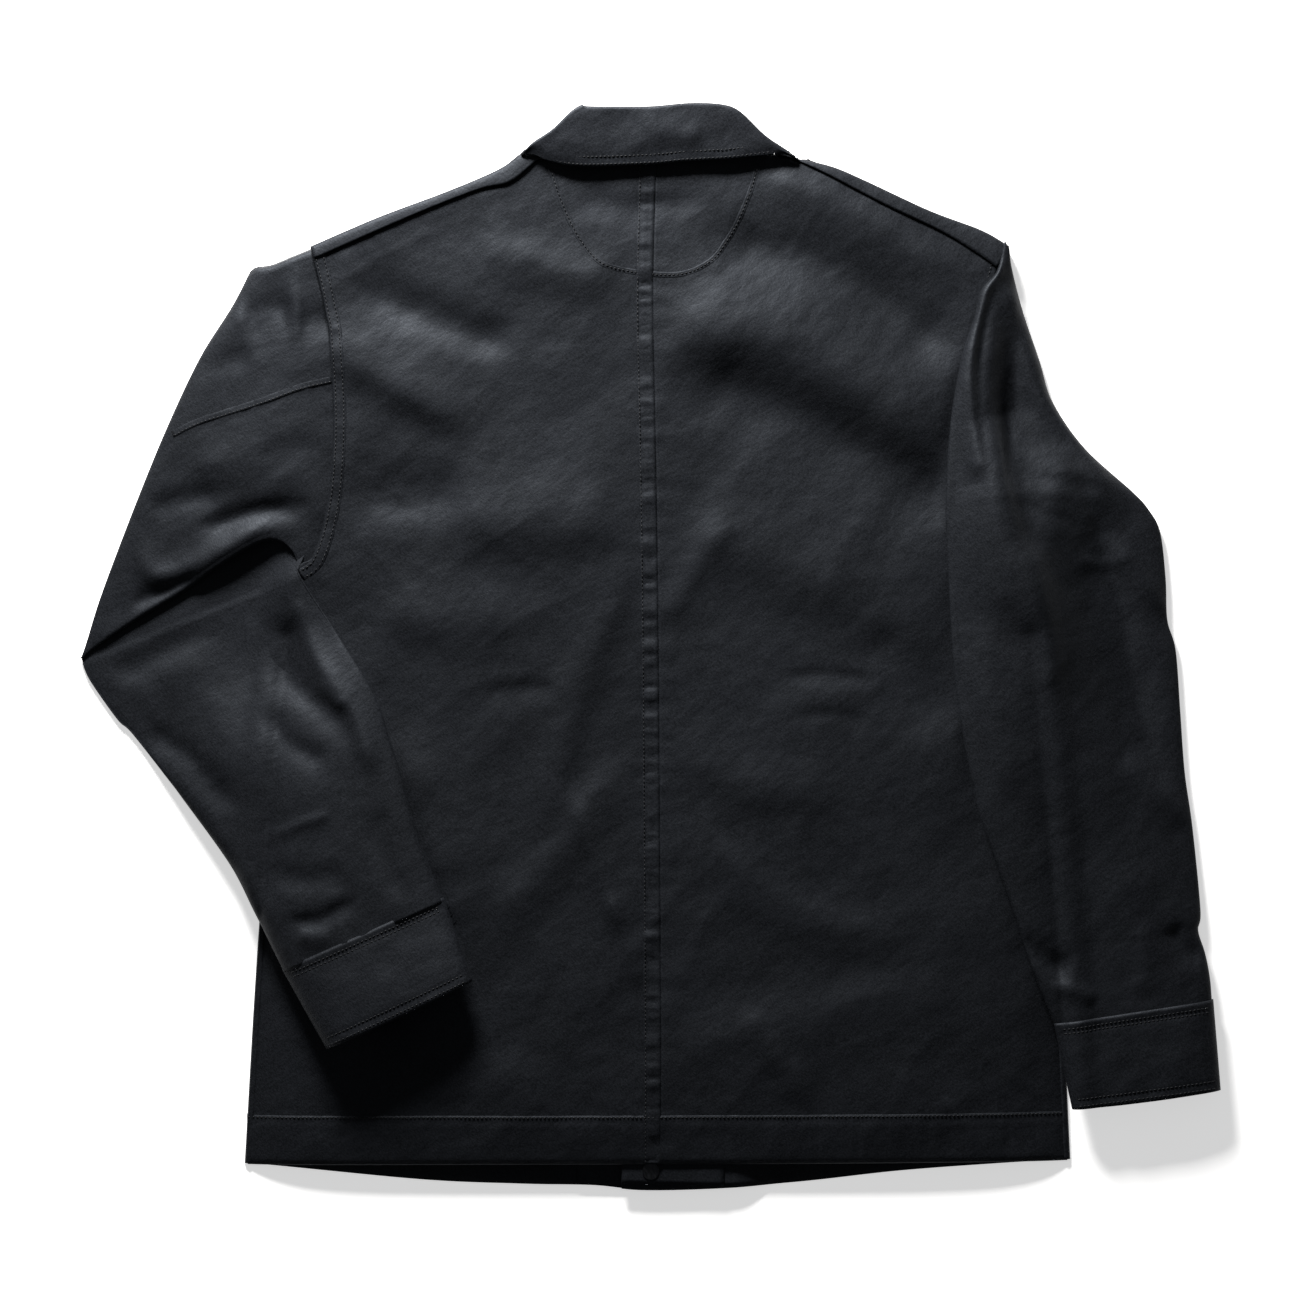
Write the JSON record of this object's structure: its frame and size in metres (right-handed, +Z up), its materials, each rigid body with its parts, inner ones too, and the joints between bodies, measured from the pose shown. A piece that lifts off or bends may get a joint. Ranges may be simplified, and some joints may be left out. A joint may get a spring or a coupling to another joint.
{
  "type": "welding jacket",
  "caption": "Long-sleeved cotton welding jacket, closed at the front with hidden snaps, lying face down with its sleeves folded in.",
  "frame": {"origin": "centre of the footprint, on the surface that the jacket lies on", "axes": "+Y towards the collar, +X to the right of someone who looks down at the back, +Z up from the fronts to the back"},
  "size_m": [0.8203, 0.7793, 0.0328],
  "materials": {
    "shell_cloth": "satin black cotton twill",
    "collar_cloth": "satin black cotton twill, doubled",
    "woven_tape": "matt woven tape",
    "snap_metal": "blackened steel"
  },
  "bodies": {
    "torso": {"back_panel_left": "shell_cloth", "back_panel_right": "shell_cloth", "centre_back_seam": "shell_cloth", "back_neck_facing": "shell_cloth", "back_hem": "shell_cloth", "neck_label": "woven_tape", "hanger_loop": "woven_tape", "neckband_back": "collar_cloth", "shoulder_strip_left": "shell_cloth", "shoulder_strip_right": "shell_cloth", "front_side_left": "shell_cloth", "front_side_right": "shell_cloth", "side_seam_left": "shell_cloth", "side_seam_right": "shell_cloth", "armhole_seam_left": "shell_cloth", "armhole_seam_right": "shell_cloth"},
    "left_front": {"front_left_flap": "shell_cloth", "front_left_facing": "shell_cloth", "neckband_front_left": "collar_cloth", "front_snap_caps": "snap_metal", "front_snap_sockets": "snap_metal"},
    "right_front": {"front_right_flap": "shell_cloth", "front_right_facing": "shell_cloth", "neckband_front_right": "collar_cloth", "front_snap_studs": "snap_metal", "front_snap_posts": "snap_metal"},
    "collar": {"collar_under_leaf": "collar_cloth", "collar_top_leaf": "collar_cloth"},
    "collar_tip_left": {"collar_point_left": "collar_cloth"},
    "collar_tip_right": {"collar_point_right": "collar_cloth"},
    "left_upper_sleeve": {"left_oversleeve": "shell_cloth", "left_undersleeve": "shell_cloth", "left_sleeve_front_upper": "shell_cloth"},
    "left_forearm": {"left_sleeve_back_lower": "shell_cloth", "left_sleeve_front_lower": "shell_cloth"},
    "left_cuff": {"left_cuff_back": "shell_cloth", "left_cuff_front": "shell_cloth", "left_cuff_snap": "snap_metal"},
    "right_upper_sleeve": {"right_sleeve_back_upper": "shell_cloth", "right_sleeve_front_upper": "shell_cloth"},
    "right_forearm": {"right_sleeve_back_lower": "shell_cloth", "right_sleeve_front_lower": "shell_cloth"},
    "right_cuff": {"right_cuff_back": "shell_cloth", "right_cuff_front": "shell_cloth", "right_cuff_snap": "snap_metal"}
  },
  "joints": [
    {"name": "left_shoulder_swing", "type": "hinge", "parent": "torso", "child": "left_upper_sleeve", "pos_m": [-0.2434, 0.2894, 0.008], "axis": [0, 0, -1], "range_deg": [0, 30]},
    {"name": "left_elbow_straighten", "type": "hinge", "parent": "left_upper_sleeve", "child": "left_forearm", "pos_m": [-0.41, -0.0058, 0.008], "axis": [0, 0, -1], "range_deg": [0, 35]},
    {"name": "left_cuff_turn_back", "type": "hinge", "parent": "left_forearm", "child": "left_cuff", "pos_m": [-0.20485, -0.20555, 0.0333], "axis": [-0.9132, -0.4075, 0], "range_deg": [0, 160]},
    {"name": "right_shoulder_swing", "type": "hinge", "parent": "torso", "child": "right_upper_sleeve", "pos_m": [0.256, 0.289, 0.024], "axis": [0, 0, 1], "range_deg": [0, 20]},
    {"name": "right_elbow_straighten", "type": "hinge", "parent": "right_upper_sleeve", "child": "right_forearm", "pos_m": [0.372, 0.06, 0.008], "axis": [0, 0, 1], "range_deg": [0, 25]},
    {"name": "right_cuff_turn_back", "type": "hinge", "parent": "right_forearm", "child": "right_cuff", "pos_m": [0.34785, -0.26265, 0.0333], "axis": [-0.9891, -0.1475, 0], "range_deg": [0, 160]},
    {"name": "collar_turn_up", "type": "hinge", "parent": "torso", "child": "collar", "pos_m": [0.004, 0.3895, 0.018], "axis": [-1, 0, 0], "range_deg": [0, 165]},
    {"name": "left_front_open", "type": "hinge", "parent": "torso", "child": "left_front", "pos_m": [-0.095, 0, 0], "axis": [0, 1, 0], "range_deg": [0, 100]},
    {"name": "right_front_open", "type": "hinge", "parent": "torso", "child": "right_front", "pos_m": [0.105, 0, 0], "axis": [0, -1, 0], "range_deg": [0, 60]},
    {"name": "collar_tip_left_turn", "type": "hinge", "parent": "left_front", "child": "collar_tip_left", "pos_m": [-0.052, 0.384, 0.0018], "axis": [0.4131, -0.9107, 0], "range_deg": [0, 45]},
    {"name": "collar_tip_right_turn", "type": "hinge", "parent": "right_front", "child": "collar_tip_right", "pos_m": [0.063, 0.38, 0.0018], "axis": [0.4586, 0.8886, 0], "range_deg": [0, 45]}
  ],
  "couplings": [
    {"joint": "right_front_open", "follows": "left_front_open", "ratio": 0.6},
    {"joint": "collar_tip_left_turn", "follows": "collar_turn_up", "ratio": 0.25},
    {"joint": "collar_tip_right_turn", "follows": "collar_turn_up", "ratio": 0.25}
  ]
}
